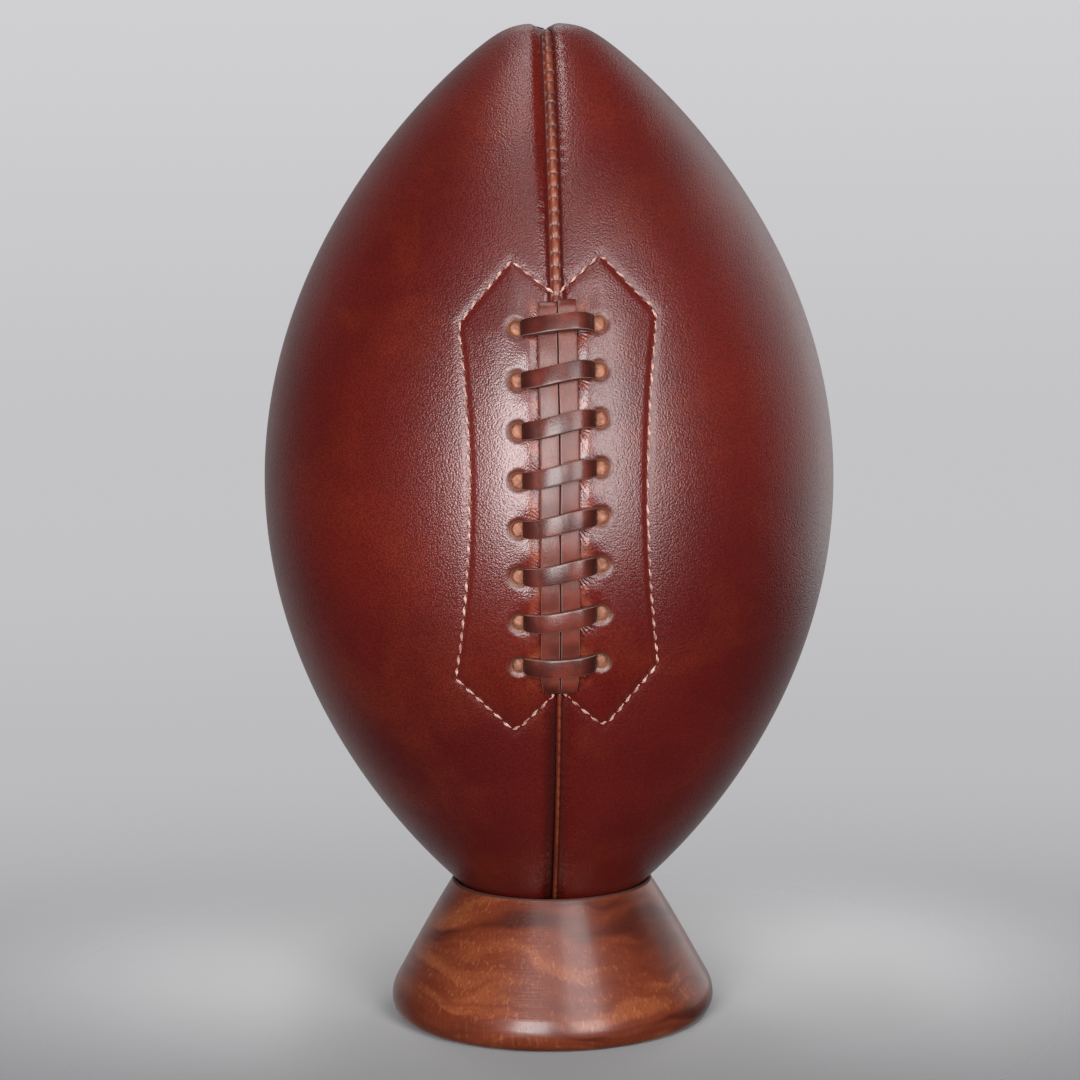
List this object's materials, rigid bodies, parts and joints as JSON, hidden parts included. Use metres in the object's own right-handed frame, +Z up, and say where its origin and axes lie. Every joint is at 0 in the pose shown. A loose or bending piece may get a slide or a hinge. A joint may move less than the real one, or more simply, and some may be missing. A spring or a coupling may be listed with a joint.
{
  "type": "laced leather rugby ball on a display stand",
  "caption": "Laced brown leather rugby ball with welted seams and stitched facings round its lace holes, standing on end in a turned hardwood stand that it lifts out of.",
  "frame": {"origin": "centre of the stand's foot, on the surface that it stands on", "axes": "+Z up along the axis of the ball and the stand; the laced seam faces -Y; +X is to the right for a viewer who faces the lacing"},
  "size_m": [0.1886, 0.1929, 0.3321],
  "materials": {
    "chestnut_leather": "pull-up leather, satin",
    "dark_lace_leather": "burnished, satin",
    "raw_edge_leather": "waxed edge",
    "natural_leather": "flesh side, matt",
    "waxed_thread": "waxed thread",
    "red_rubber": "matt rubber",
    "linen_cord": "linen cord",
    "polished_wood": "oiled and polished hardwood"
  },
  "bodies": {
    "stand": {"stand": "polished_wood"},
    "ball": {"front_left_panel": "chestnut_leather", "front_right_panel": "chestnut_leather", "rear_left_panel": "chestnut_leather", "rear_right_panel": "chestnut_leather", "front_upper_welt": "raw_edge_leather", "front_lower_welt": "raw_edge_leather", "left_welt": "raw_edge_leather", "right_welt": "raw_edge_leather", "rear_welt": "raw_edge_leather", "front_upper_seam_thread": "waxed_thread", "front_lower_seam_thread": "waxed_thread", "left_seam_thread": "waxed_thread", "right_seam_thread": "waxed_thread", "rear_seam_thread": "waxed_thread", "left_facing": "natural_leather", "right_facing": "natural_leather", "left_facing_thread": "waxed_thread", "right_facing_thread": "waxed_thread", "lace_tongue": "natural_leather", "left_upright_lace": "dark_lace_leather", "right_upright_lace": "dark_lace_leather", "cross_lace": "dark_lace_leather", "bladder": "red_rubber", "bladder_neck": "red_rubber", "neck_tie": "linen_cord"}
  },
  "joints": [
    {"name": "ball_lift", "type": "slide", "parent": "stand", "child": "ball", "axis": [0, 0, 1], "range_m": [0, 0.06]}
  ]
}
